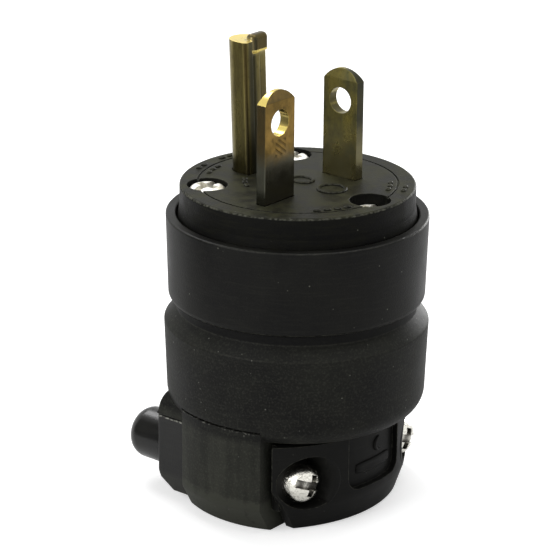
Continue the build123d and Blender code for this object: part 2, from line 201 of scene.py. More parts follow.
@dataclass(frozen=True)
class MouldedNylon:
    """Glass-filled nylon from a textured mould: near black and matte, with paler edges and dusty specks that
    stay.

    The fine grain of the mould breaks up highlights, handling leaves a grey bloom, and worn edges look paler.
    Painted highlights and glints lie on edges, rims and lines, painted light below set heights, painted shade
    in a groove.
    A share is how far a colour covers the one below. A film of painted light is a height with its share, and
    the rise of a rim, the place of a groove and the place of a seam are a middle with a half width.
    """

    name: str
    base: str
    # Colour of handling haze and dust film, which also carries painted light below set heights
    haze_and_light: str
    # Colour of dust specks, also used for painted glints along a seam
    dust_and_glint: str
    roughness: float
    specular: float
    haze_share: float
    lying_share: float
    dust_share: float
    # Colour of worn edges and of painted highlights on edges, rims and lines at set heights
    rub_and_glint: str = "#5A5A50"
    rim_glint_share: float = 0.0
    rim_glint_rise: Pair = (0.6, 0.25)
    glint_levels_mm: tuple[float, ...] = ()
    glint_half_mm: float = 0.1
    skip_mm: float = 0.5
    # Painted light below each height, on lower parts lit from the side and the floor
    painted_light_films: tuple[Pair, ...] = ()
    painted_light_fade_mm: float = 1.0
    sheen_streak_mm: Triple = (1.6, 1.6, 14.0)
    patch_mm: float = 7.0
    grain_mm: float = 0.22
    grain_depth_mm: float = 0.025
    grain_share: float = 0.0
    edge_mm: float = 0.2
    gloss_from_y_mm: float = NOWHERE_MM
    gloss_roughness: float = 0.2
    roughness_swing: Pair = (-0.05, 0.07)
    scuff_mm: Triple = (4.0, 4.0, 0.3)
    scuff_share: float = 0.25
    speck_cell_mm: float = 0.9
    # Colour of painted shade in a groove
    groove: str = "#040404"
    groove_shade_z_mm: Pair = (NOWHERE_MM, 1.0)
    groove_shade_share: float = 0.8
    # Painted glints along a seam, at this height and along this stretch of Y
    seam_glint_z_mm: Pair = (NOWHERE_MM, 0.12)
    seam_glint_y_mm: Pair = (-0.2, 7.2)
    ior: float = 1.53

    def build(self) -> Material:
        """Makes the material.

        Returns:
            The finished material.
        """
        canvas = Canvas(self.name, self.edge_mm)
        tree, point, place = canvas.tree, canvas.point, canvas.place
        skips = add(tree, "TexNoise", {"Vector": point, "Scale": 1 / self.skip_mm, "Detail": 3.0})
        patches = add(tree, "TexNoise", {"Vector": point, "Scale": 1 / self.patch_mm, "Detail": 4.0})
        # The grain of the mould is drawn a little coarser than it is
        grain = add(tree, "TexNoise", {"Vector": point, "Scale": 1 / self.grain_mm, "Detail": 3.0})
        # Painted shade in the groove between ring and shell: a near-black band at a set height
        band = add(tree, "Math COMPARE", (place["Z"], *self.groove_shade_z_mm))
        deep = add(tree, "Math MULTIPLY", (band, self.groove_shade_share))
        # Layers: grey of use with painted light, worn edges with painted glints, dust specks with painted
        # glints, painted groove shade
        colour = canvas.paint(self.base, (
            (self._haze_and_light(canvas, patches, grain), self.haze_and_light),
            (self._rub_and_glint(canvas, skips), self.rub_and_glint),
            (self._specks_and_glints(canvas, skips), self.dust_and_glint),
            (deep, self.groove),
        ))
        depth = self.grain_depth_mm * MM
        bump = add(tree, "Bump", {"Height": grain, "Normal": canvas.bevel, "Distance": depth})
        smooth, coarse = (self.roughness + swing for swing in self.roughness_swing)
        matte = add(
            tree, "MapRange",
            {"Value": patches, "From Min": 0.3, "From Max": 0.7, "To Min": smooth, "To Max": coarse},
        )
        polished = add(tree, "Math GREATER_THAN", (place["Y"], self.gloss_from_y_mm))
        rough = add(tree, "Mix", {"Factor": polished, "A": matte, "B": self.gloss_roughness})
        return canvas.close("BsdfPrincipled", {
            "Base Color": colour, "Roughness": rough, "Normal": bump, "IOR": self.ior,
            "Specular IOR Level": self.specular,
        })

    def _rub_and_glint(self, canvas: Canvas, skips: Node) -> Node:
        """Finds worn edges with painted highlights, and painted glints on rims that face half up and at set
        heights.

        Args:
            canvas: Material in work.
            skips: Noise that breaks a line into stretches.

        Returns:
            The node with the share of worn plastic and painted glints.
        """
        tree = canvas.tree
        # An edge shows where the rounded normal leaves the flat one
        facing = add(tree, "VectorMath DOT_PRODUCT", (canvas.bevel, canvas.normal))
        edge = add(tree, "MapRange", {"Value": facing, "From Min": 0.985, "From Max": 0.85})
        # Painted glints on rims that face half up, and painted glint lines at set heights
        rising = add(tree, "Math COMPARE", (canvas.rise, *self.rim_glint_rise))
        rim = add(tree, "Math MULTIPLY", (rising, self.rim_glint_share))
        bare = add(tree, "Math MAXIMUM", (edge, rim))
        for level in self.glint_levels_mm:
            line = add(tree, "Math COMPARE", (canvas.place["Z"], level, self.glint_half_mm))
            bare = add(tree, "Math MAXIMUM", (bare, line))
        hit = add(tree, "MapRange", {"Value": skips, "From Min": 0.38, "From Max": 0.66, "To Max": 0.85})
        return add(tree, "Math MULTIPLY", (bare, hit))

    def _haze_and_light(self, canvas: Canvas, patches: Node, grain: Node) -> Node:
        """Finds the grey of use and the painted light: a dusty film on what faces up, handling, painted light
        below set heights, scuffs and filled pores.

        Args:
            canvas: Material in work.
            patches: Noise of the handling patches.
            grain: Noise of the mould's grain.

        Returns:
            The node with the share of grey of use and painted light.
        """
        tree, point = canvas.tree, canvas.point
        # Dust film on what faces up, in blotches, and handling haze in soft patches some millimetres wide
        lying = add(
            tree, "MapRange",
            {"Value": canvas.rise, "From Min": 0.3, "From Max": 0.95, "To Max": self.lying_share},
        )
        patchy = add(
            tree, "MapRange",
            {"Value": patches, "From Min": 0.35, "From Max": 0.72, "To Max": self.haze_share},
        )
        blotch = add(tree, "MapRange", {"Value": patches, "From Min": 0.4, "From Max": 0.6, "To Min": 0.3})
        haze_and_light = add(tree, "Math MULTIPLY_ADD", (lying, blotch, patchy))
        # Painted light below the height of each film, in upright streaks of painted sheen
        wiped = add(tree, "VectorMath MULTIPLY", (point, per_mm(self.sheen_streak_mm)))
        streaks = add(tree, "TexNoise", {"Vector": wiped, "Scale": 1.0, "Detail": 2.0})
        painted_sheen = add(
            tree, "MapRange",
            {"Value": streaks, "From Min": 0.3, "From Max": 0.7, "To Min": 0.5, "To Max": 1.5},
        )
        for height, share in self.painted_light_films:
            full = height - self.painted_light_fade_mm
            low = add(
                tree, "MapRange",
                {"Value": canvas.place["Z"], "From Min": height, "From Max": full, "To Max": share},
            )
            haze_and_light = add(tree, "Math MULTIPLY_ADD", (low, painted_sheen, haze_and_light))
        # Scuffs run round the axis in long thin lines
        drawn = add(tree, "VectorMath MULTIPLY", (point, per_mm(self.scuff_mm)))
        scuffs = add(tree, "TexNoise", {"Vector": drawn, "Scale": 1.0, "Detail": 3.0})
        # Dust fills the pores of the grain
        for noise, most, share in ((scuffs, 0.75, self.scuff_share), (grain, 0.68, self.grain_share)):
            more = add(tree, "MapRange", {"Value": noise, "From Min": 0.5, "From Max": most, "To Max": share})
            haze_and_light = add(tree, "Math ADD", (haze_and_light, more))
        return haze_and_light

    def _specks_and_glints(self, canvas: Canvas, skips: Node) -> Node:
        """Finds loose dusty specks in some cells, and painted glints in stretches along a seam.

        Args:
            canvas: Material in work.
            skips: Noise that breaks a line into stretches.

        Returns:
            The node with the share of dusty specks and painted glints.
        """
        tree, place = canvas.tree, canvas.place
        # Specks are drawn larger than real dust so that they show
        cells = add(tree, "TexVoronoi", {"Vector": canvas.point, "Scale": 1 / self.speck_cell_mm})
        spot = add(tree, "MapRange", {"Value": cells, "From Min": 0.16, "From Max": 0.06})
        chance = add(tree, "SeparateColor", (cells.outputs["Color"],))
        kept = add(tree, "Math LESS_THAN", (chance, self.dust_share))
        spots = add(tree, "Math MULTIPLY", (spot, kept))
        # Painted glints in stretches along the seam over the cheeks
        seam = add(tree, "Math COMPARE", (place["Z"], *self.seam_glint_z_mm))
        beside = add(tree, "Math COMPARE", (place["Y"], *self.seam_glint_y_mm))
        cheek = add(tree, "Math MULTIPLY", (seam, beside))
        glint_stretches = add(tree, "MapRange", {"Value": skips, "From Min": 0.55, "From Max": 0.68})
        seam_glints = add(tree, "Math MULTIPLY", (cheek, glint_stretches))
        return add(tree, "Math MAXIMUM", (spots, seam_glints))


@dataclass(frozen=True)
class AgedBrass:
    """Rolled sheet brass, dulled by years of use: gold under a thin brown-green tarnish with rolling lines.

    Patches of tarnish take the shine off. Painted shade darkens sides and tip slopes, a nose is darker,
    painted highlights brighten ends that face up, hole walls and a nose's lip, painted light fills a fold,
    and a band of painted dark reflection can run up a front. A side with painted shade is a direction with
    its share; a band is its middle, half width and drift with height. The rise of a wedge and the place of
    the strokes are a middle with a half width.
    """

    name: str
    bright: str
    dull: str
    stain: str
    roughness: float
    tarnish: float
    dulling: float = 0.12
    spot_mm: float = 0.7
    bevel_mm: float = 0.15
    streak_mm: Triple = (4.0, 4.0, 4.0)
    line_mm: Triple = (0.15, 0.15, 7.0)
    line_depth_mm: float = 0.006
    # Colour of painted shade on sides and tip slopes, also used for a darker nose
    shade: str = "#3A3A30"
    shaded: tuple[Quad, ...] = ()
    wedge_rise: Pair = (0.29, 0.1)
    wedge_share: float = 0.0
    # Tone towards the face: a painted dark reflection on the neutral blade, painted light on the hot one,
    # darker on the pin
    foot_tone: str = "#34362F"
    foot_tone_z_mm: Pair = (52.6, 55.0)
    foot_tone_share: float = 0.0
    waver_mm: float = 1.5
    waver_rise_mm: float = 2.0
    # Colour of painted highlights on ends that face up, on hole walls and along a nose's lip
    painted_highlight: str = "#EAD47A"
    up_highlight_share: float = 0.0
    hole_mm: Optional[Triple] = None
    hole_plane: Triple = (1.0, 0.0, 1.0)
    hole_r_mm: float = 1.95
    hole_highlight_share: float = 0.4
    nose_mm: Optional[Triple] = None
    nose_half_mm: Triple = (1.75, 0.95, 1.13)
    nose_share: float = 0.85
    lip_half_mm: float = 0.17
    # Colour of painted light inside a fold
    fold: str = "#C8BC8E"
    fold_light_share: float = 0.0
    fold_reach_mm: float = 1.6
    # Colour of a band of painted dark reflection up a front
    band: str = "#33342C"
    band_mm: Optional[Triple] = None
    reflection_band_share: float = 0.8
    stroke_x_mm: Pair = (NOWHERE_MM, 1.15)
    stroke_z_mm: Pair = (55.05, 1.15)
    stroke_pitch_mm: float = 0.9
    stroke_slant: float = 0.75
    stroke_share: float = 0.5
    stroke_depth: float = 4.0

    def build(self) -> Material:
        """Makes the material.

        Returns:
            The finished material.
        """
        canvas = Canvas(self.name, self.bevel_mm)
        tree, point = canvas.tree, canvas.point
        # Tarnish in patches a few millimetres wide, with small brown spots
        drawn = add(tree, "VectorMath MULTIPLY", (point, per_mm(self.streak_mm)))
        patches = add(tree, "TexNoise", {"Vector": drawn, "Scale": 1.0, "Detail": 5.0, "Roughness": 0.6})
        spots = add(tree, "TexNoise", {"Vector": point, "Scale": 1 / self.spot_mm, "Detail": 2.0})
        dulled, spotted = (
            add(tree, "MapRange", {"Value": noise, "From Min": least, "From Max": most, "To Max": share})
            for noise, least, most, share in (
                (patches, 0.36, 0.64, self.tarnish), (spots, 0.58, 0.76, self.tarnish / 2),
            )
        )
        # Tone towards the face, with an upper end that wavers
        waver = add(tree, "TexNoise", {"Vector": point, "Scale": 1 / self.waver_mm, "Detail": 3.0})
        level = add(tree, "Math MULTIPLY_ADD", (waver, self.waver_rise_mm, canvas.place["Z"]))
        full, none = self.foot_tone_z_mm
        values = {"Value": level, "From Min": none, "From Max": full, "To Max": self.foot_tone_share}
        low = add(tree, "MapRange", values)
        inside = None
        if self.fold_light_share:
            # Painted light inside the fold, where corners shade themselves, which keeps reflections in a row
            # from turning it black
            reach = {"Distance": self.fold_reach_mm * MM}
            hidden = add(tree, "AmbientOcclusion", reach, samples=SHADE_SAMPLES, only_local=True)
            shade = hidden.outputs["AO"]
            values = {"Value": shade, "From Min": 0.95, "From Max": 0.6, "To Max": self.fold_light_share}
            inside = add(tree, "MapRange", values)
        nose, lip = self._nose(canvas)
        strokes = self._strokes(canvas)
        # Layers over the tarnish: painted shade, tone towards the face, painted dark reflection band, painted
        # highlights, strokes, painted fold light
        colour = canvas.paint(self.bright, (
            (dulled, self.dull),
            (spotted, self.stain),
            (self._dark(canvas, nose), self.shade),
            (low, self.foot_tone),
            (self._reflection_band(canvas), self.band),
            (self._highlights(canvas, nose, lip), self.painted_highlight),
            (strokes, self.stain),
            (inside, self.fold),
        ))
        # Fine rolling lines along the blade, with the strokes sunk below them
        drawn = add(tree, "VectorMath MULTIPLY", (point, per_mm(self.line_mm)))
        lines = add(tree, "TexNoise", {"Vector": drawn, "Scale": 1.0, "Detail": 2.0})
        height = add(tree, "Math MULTIPLY_ADD", (strokes, -self.stroke_depth, lines))
        depth = self.line_depth_mm * MM
        bump = add(tree, "Bump", {"Height": height, "Normal": canvas.bevel, "Distance": depth})
        dullest = self.roughness + self.dulling
        rough = add(tree, "MapRange", {"Value": dulled, "To Min": self.roughness, "To Max": dullest})
        values = {"Base Color": colour, "Roughness": rough, "Normal": bump, "Metallic": 1.0}
        return canvas.close("BsdfPrincipled", values)

    def _nose(self, canvas: Canvas) -> tuple[Any, Any]:
        """Marks the box round a nose and the thin lip along its lower end.

        Args:
            canvas: Material in work.

        Returns:
            The nodes, or plain zeros without a nose, that are one on the nose and one on the lip.
        """
        if self.nose_mm is None:
            return 0.0, 0.0
        tree = canvas.tree
        x, y, z = self.nose_mm
        wide, deep, high = self.nose_half_mm
        masks = []
        for middle, half in ((z, high), (z - high - self.lip_half_mm, self.lip_half_mm)):
            off = add(tree, "VectorMath SUBTRACT", (canvas.point, (x, y, middle)))
            part = add(tree, "VectorMath DIVIDE", (off, (wide, deep, half)))
            size = add(tree, "VectorMath ABSOLUTE", (part,))
            axes = add(tree, "SeparateXYZ", (size,)).outputs
            flat = add(tree, "Math MAXIMUM", (axes["X"], axes["Y"]))
            most = add(tree, "Math MAXIMUM", (flat, axes["Z"]))
            masks.append(add(tree, "Math LESS_THAN", (most, 1.0)))
        return masks[0], masks[1]

    def _reflection_band(self, canvas: Canvas) -> Optional[Node]:
        """Finds a soft upright band of painted dark reflection on the front, which leans as the pin does.

        Args:
            canvas: Material in work.

        Returns:
            The node with the share of the band, or None without one.
        """
        if self.band_mm is None:
            return None
        tree, place = canvas.tree, canvas.place
        middle, half, drift = self.band_mm
        upright = add(tree, "Math MULTIPLY_ADD", (place["Z"], drift, place["X"]))
        off = add(tree, "Math SUBTRACT", (upright, middle))
        away = add(tree, "Math ABSOLUTE", (off,))
        soft = add(
            tree, "MapRange",
            {"Value": away, "From Min": 1.4 * half, "From Max": 0.6 * half, "To Max": self.reflection_band_share},
        )
        front = add(tree, "VectorMath DOT_PRODUCT", (canvas.normal, (0.0, -1.0, 0.0)))
        facing = add(tree, "MapRange", {"Value": front, "From Min": 0.6, "From Max": 0.9})
        return add(tree, "Math MULTIPLY", (soft, facing))

    def _dark(self, canvas: Canvas, nose: Any) -> Node:
        """Finds what is painted darker than the rolled flats: painted shade on sides and on the tip's slopes,
        and a darker nose.

        Args:
            canvas: Material in work.
            nose: Node, or plain value, that is one on the nose.

        Returns:
            The node with the share of painted shade and of the darker nose.
        """
        tree = canvas.tree
        # Painted shade on the tip's slopes
        slope = add(tree, "Math COMPARE", (canvas.rise, *self.wedge_rise))
        wedge = add(tree, "Math MULTIPLY", (slope, self.wedge_share))
        dark = add(tree, "Math MULTIPLY_ADD", (nose, self.nose_share, wedge))
        # Painted shade on sides that face along each given direction
        for *side, share in self.shaded:
            aside = add(tree, "VectorMath DOT_PRODUCT", (canvas.normal, side))
            turned = add(tree, "Math ABSOLUTE", (aside,))
            values = {"Value": turned, "From Min": 0.85, "From Max": 0.95, "To Max": share}
            painted_side_shade = add(tree, "MapRange", values)
            dark = add(tree, "Math MAXIMUM", (dark, painted_side_shade))
        return dark

    def _highlights(self, canvas: Canvas, nose: Any, lip: Any) -> Node:
        """Finds the painted highlights: on ends that face up, on the wall of the punched hole and along the
        nose's lip.

        Args:
            canvas: Material in work.
            nose: Node, or plain value, that is one on the nose.
            lip: Node, or plain value, that is one on the nose's lip.

        Returns:
            The node with the share of painted highlight.
        """
        tree = canvas.tree
        # Painted highlight on ends that face up, kept off the nose
        values = {"Value": canvas.rise, "From Min": 0.45, "From Max": 0.55, "To Max": self.up_highlight_share}
        end = add(tree, "MapRange", values)
        clear = add(tree, "Math SUBTRACT", (1.0, nose))
        painted_highlight = add(tree, "Math MULTIPLY", (end, clear))
        highlighted = add(tree, "Math MAXIMUM", (painted_highlight, lip))
        # Painted highlight on the wall of the punched hole
        if self.hole_mm is not None:
            flat = add(tree, "VectorMath MULTIPLY", (canvas.point, self.hole_plane))
            away = add(tree, "VectorMath DISTANCE", (flat, self.hole_mm))
            wall = add(tree, "Math LESS_THAN", (away, self.hole_r_mm))
            shiny = add(tree, "Math MULTIPLY", (wall, self.hole_highlight_share))
            highlighted = add(tree, "Math MAXIMUM", (highlighted, shiny))
        return highlighted

    def _strokes(self, canvas: Canvas) -> Node:
        """Finds stamped slanted strokes: a triangle wave of Z plus a slant times X, in a window in X and Z.

        Args:
            canvas: Material in work.

        Returns:
            The node with the share of a stroke, which is zero elsewhere.
        """
        tree, pitch = canvas.tree, self.stroke_pitch_mm
        x, z = canvas.place["X"], canvas.place["Z"]
        lean = add(tree, "Math MULTIPLY_ADD", (x, self.stroke_slant, z))
        wave = add(tree, "Math PINGPONG", (lean, pitch / 2))
        stroke = add(
            tree, "MapRange",
            {"Value": wave, "From Min": 0.27 * pitch, "From Max": 0.17 * pitch, "To Max": self.stroke_share},
        )
        for axis, window in ((x, self.stroke_x_mm), (z, self.stroke_z_mm)):
            within = add(tree, "Math COMPARE", (axis, *window))
            stroke = add(tree, "Math MULTIPLY", (stroke, within))
        return stroke


@dataclass(frozen=True)
class PlatedSteel:
    """Nickel-plated steel of machine screws: bright warm white, driver marks, and a grimy brown with painted
    shade in the slot.
    """

    name: str
    bright: str
    worn: str
    # Colour of grime and painted shade where corners shade themselves
    grime_and_shade: str
    roughness: float
    grime_and_shade_share: float
    grime_dulling: float = 0.3
    hollow_mm: float = 0.7
    edge_mm: float = 0.12
    mark_mm: float = 0.5
    mark_depth_mm: float = 0.05

    def build(self) -> Material:
        """Makes the material.

        Returns:
            The finished material.
        """
        canvas = Canvas(self.name, self.edge_mm)
        tree = canvas.tree
        # Driver wear in marks half a millimetre wide, and grime with painted shade where corners shade
        # themselves
        values = {"Vector": canvas.point, "Scale": 1 / self.mark_mm, "Detail": 4.0, "Distortion": 1.5}
        marks = add(tree, "TexNoise", values)
        reach = {"Distance": self.hollow_mm * MM}
        hollow = add(tree, "AmbientOcclusion", reach, samples=SHADE_SAMPLES, only_local=True).outputs["AO"]
        values = {"Value": hollow, "From Min": 0.95, "From Max": 0.6, "To Max": self.grime_and_shade_share}
        grimy_and_shaded = add(tree, "MapRange", values)
        scuffed = add(tree, "MapRange", {"Value": marks, "From Min": 0.48, "From Max": 0.7, "To Max": 0.8})
        colour = canvas.paint(self.bright, ((scuffed, self.worn), (grimy_and_shaded, self.grime_and_shade)))
        depth = self.mark_depth_mm * MM
        bump = add(tree, "Bump", {"Height": marks, "Normal": canvas.bevel, "Distance": depth})
        dullest = self.roughness + self.grime_dulling
        rough = add(tree, "MapRange", {"Value": grimy_and_shaded, "To Min": self.roughness, "To Max": dullest})
        values = {"Base Color": colour, "Roughness": rough, "Normal": bump, "Metallic": 1.0}
        return canvas.close("BsdfPrincipled", values)


# Dull black face under an olive bloom of dust, with worn rims under painted glints
FACE_NYLON = MouldedNylon(
    name="moulded_nylon_face", base="#0A0A09", haze_and_light="#3E3E2A", dust_and_glint="#5E5E54", roughness=0.48, specular=0.07,
    haze_share=0.05, lying_share=0.48, dust_share=0.06, rim_glint_share=0.9, patch_mm=2.2, grain_depth_mm=0.04,
    scuff_share=0.08,
)
# Satin black sleeve: painted highlight line on its lower edge, painted glints on rims, painted shade in the
# groove
RING_NYLON = MouldedNylon(
    name="moulded_nylon_ring", base="#0C0C0B", haze_and_light="#24241F", dust_and_glint="#5E5E56", roughness=0.42, specular=0.11,
    haze_share=0.25, lying_share=0.2, dust_share=0.07, rub_and_glint="#3A3A33", rim_glint_share=0.6, glint_levels_mm=(30.6,),
    groove_shade_z_mm=(29.6, 0.9), grain_share=0.2,
)
# Grainy grey-black grip with painted light on its cheeks and lower bevels, painted shade in the groove
# under the ring, painted highlight lines, and painted glints along the seam over its cheeks
SHELL_NYLON = MouldedNylon(
    name="moulded_nylon_shell", base="#0E0E0D", haze_and_light="#383932", dust_and_glint="#60605A", roughness=0.53, specular=0.1,
    haze_share=0.22, lying_share=0.1, dust_share=0.1, rub_and_glint="#2C2C27", glint_levels_mm=(26.9, 28.75),
    painted_light_films=((14.5, 0.36), (5.2, 0.8)), groove_shade_z_mm=(29.7, 0.8), grain_mm=0.3, grain_share=0.32,
    scuff_share=0.15, seam_glint_z_mm=(15.4, 0.12),
)
# Plain black clamp half, a little smoother than the shell
FRONT_NYLON = MouldedNylon(
    name="moulded_nylon_front_clamp", base="#151514", haze_and_light="#22221F", dust_and_glint="#50504A", roughness=0.45,
    specular=0.07, haze_share=0.2, lying_share=0.2, dust_share=0.05,
)
# Black clamp half with glossy bosses, a painted highlight along its top edge and painted light on its lower
# bevel
REAR_NYLON = MouldedNylon(
    name="moulded_nylon_rear_clamp", base="#0E0E0D", haze_and_light="#2A2A25", dust_and_glint="#50504A", roughness=0.5,
    specular=0.3, haze_share=0.15, lying_share=0.15, dust_share=0.05, rub_and_glint="#B0B0A4",
    glint_levels_mm=(12.45,), painted_light_films=((4.2, 0.6),), gloss_from_y_mm=13.5, gloss_roughness=0.19,
)
# Golden blade that turns slate near the face as a painted dark reflection, with painted shade on its side
# and tip slopes, and painted highlights on its tip and hole wall
NEUTRAL_BRASS = AgedBrass(
    name="rolled_brass_turned_blade", bright="#8C7038", dull="#54451F", stain="#241E12", roughness=0.17,
    tarnish=0.8, streak_mm=(2.4, 2.4, 3.2), shade="#46463A", shaded=((1.0, 0.0, 0.0, 0.62),),
    wedge_share=0.35, foot_tone="#5A5C52", foot_tone_z_mm=(53.4, 55.8), foot_tone_share=0.85, up_highlight_share=0.9,
    hole_mm=(-8.6, 0.0, 58.55), hole_highlight_share=0.35, stroke_x_mm=(-8.4, 1.15),
)
# Olive blade with painted shade on its sides and tip slopes, and painted light towards its foot
HOT_BRASS = AgedBrass(
    name="rolled_brass_blade", bright="#908446", dull="#4E503C", stain="#2E2A1C", roughness=0.24, tarnish=0.9,
    streak_mm=(3.0, 3.0, 5.0), shade="#2A2A22", shaded=((0.0, 1.0, 0.0, 0.9), (0.0, -0.6, 0.8, 0.9)),
    wedge_share=0.25, foot_tone="#9A926C", foot_tone_z_mm=(49.0, 57.0), foot_tone_share=0.7,
    hole_mm=(0.0, -3.05, 58.55), hole_plane=(0.0, 1.0, 1.0), hole_highlight_share=0.05,
)
# Streaky olive pin, darker towards the face, with a band of painted dark reflection up its front,
# painted shade on its front edge, a painted highlight on its top, painted light in its fold and a darker nose
GROUND_BRASS = AgedBrass(
    name="folded_brass_pin", bright="#8A7F4A", dull="#605736", stain="#2E2A1C", roughness=0.26, tarnish=0.85,
    streak_mm=(1.6, 1.6, 9.0), shade="#463C24", shaded=((0.0, 1.0, 0.0, 0.15), (0.707, 0.707, 0.0, 0.85)),
    foot_tone_z_mm=(48.0, 62.0), foot_tone_share=0.55, up_highlight_share=1.0, nose_mm=(0.447, 8.12, 66.47),
    fold_light_share=1.0, band_mm=(0.0, 0.75, 0.01976),
)
# Paler brass that the housing has kept clean
FITTING_BRASS = AgedBrass(
    name="turned_brass_fitting", bright="#B89B54", dull="#857340", stain="#3A2F16", roughness=0.3,
    tarnish=0.4,
)
# Bright heads with brown grime and painted shade in their slots
CLAMP_STEEL = PlatedSteel(
    name="nickel_plated_steel", bright="#F4F2E8", worn="#B0ACA0", grime_and_shade="#2A231B", roughness=0.2,
    grime_and_shade_share=0.95, hollow_mm=1.2,
)
# Softer white heads with little grime and painted shade in their deep holes
FACE_STEEL = PlatedSteel(
    name="nickel_plated_steel_face", bright="#FCFAF2", worn="#D2CEC0", grime_and_shade="#5A5244", roughness=0.42,
    grime_and_shade_share=0.18,
)
FINISHES = (
    FACE_NYLON, RING_NYLON, SHELL_NYLON, FRONT_NYLON, REAR_NYLON, NEUTRAL_BRASS, HOT_BRASS, GROUND_BRASS,
    FITTING_BRASS, CLAMP_STEEL, FACE_STEEL,
)


def turns(count: int) -> Array:
    """Gives evenly spaced angles once round, in radians."""
    return np.linspace(0, 2 * np.pi, count, endpoint=False)


def spread(rows: Array, cols: Array) -> list[Array]:
    """Spreads row values and column values over a grid."""
    return np.meshgrid(rows, cols, indexing="ij")


def pillow_rows(count: int) -> Array:
    """Gives evenly spaced angles between two poles, without the poles, in radians."""
    return np.linspace(-np.pi / 2, np.pi / 2, count + 2)[1:-1]


def squared(turn: Array, power: int) -> Array:
    """Works out how far a rounded square reaches: the powers of cosine and sine add up to one.

    Args:
        turn: Directions from the middle, in radians.
        power: Two for a circle, more for squarer corners.

    Returns:
        The reach in each direction.
    """
    return (np.abs(np.cos(turn)) ** power + np.abs(np.sin(turn)) ** power) ** (-1 / power)


def new_piece(name: str, vertices: Array, faces: list[list[int]], material: Material) -> Piece:
    """Makes an object and links it to the scene.

    Args:
        name: Name of the object and its mesh.
        vertices: Points in millimetres.
        faces: Numbers of each face's points.
        material: Finish of the object.

    Returns:
        The new object.
    """
    mesh = bpy.data.meshes.new(name)
    mesh.from_pydata((vertices * MM).tolist(), [], faces)
    mesh.update()
    mesh.materials.append(material)
    piece = bpy.data.objects.new(name, mesh)
    bpy.context.scene.collection.objects.link(piece)
    return piece


def surface_piece(name: str, points: Array, poles: bool, material: Material) -> None:
    """Makes a closed piece that rides on the plug, from a grid of points.

    Args:
        name: Name of the piece.
        points: Rows by columns by three, in millimetres. Columns wrap round.
        poles: True where the first and last rows close to a point each, False where rows wrap round too.
        material: Finish of the piece.
    """
    rows, cols = points.shape[:2]
    grid = np.arange(rows * cols).reshape(rows, cols)
    lower = grid if not poles else grid[:-1]
    upper = np.roll(grid, -1, axis=0) if not poles else grid[1:]
    quads = np.stack([lower, np.roll(lower, -1, 1), np.roll(upper, -1, 1), upper], axis=-1).reshape(-1, 4)
    vertices = points.reshape(-1, 3)
    faces = quads.tolist()
    if poles:
        vertices = np.vstack([vertices, points[0].mean(axis=0), points[-1].mean(axis=0)])
        first, last = rows * cols, rows * cols + 1
        turn = np.roll(grid, -1, axis=1)
        faces += np.stack([np.full(cols, first), turn[0], grid[0]], axis=-1).tolist()
        faces += np.stack([np.full(cols, last), grid[-1], turn[-1]], axis=-1).tolist()
    piece = new_piece(name, vertices, faces, material)
    piece.data.polygons.foreach_set("use_smooth", np.ones(len(faces), dtype=bool))
    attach(piece, BODY)
    LOG.info("made %s with %d faces", name, len(faces))


class Assembly:
    """Sub-assembly of the plug, with the CAD nodes that wear each finish."""

    worn_by: ClassVar[dict[Any, tuple[str, ...]]] = {}

    def build(self, materials: Materials) -> None:
        """Makes the pieces that a sub-assembly adds to the CAD, where it adds any."""

    def dress(self, nodes: dict[str, Piece], materials: Materials) -> None:
        """Gives the CAD nodes their finishes.

        Args:
            nodes: CAD nodes by name.
            materials: Material of each finish.
        """
        for finish, names in self.worn_by.items():
            for name in names:
                mesh = nodes[name].data
                mesh.materials.clear()
                mesh.materials.append(materials[finish])
                LOG.info("dressed %s in %s", name, finish.name)


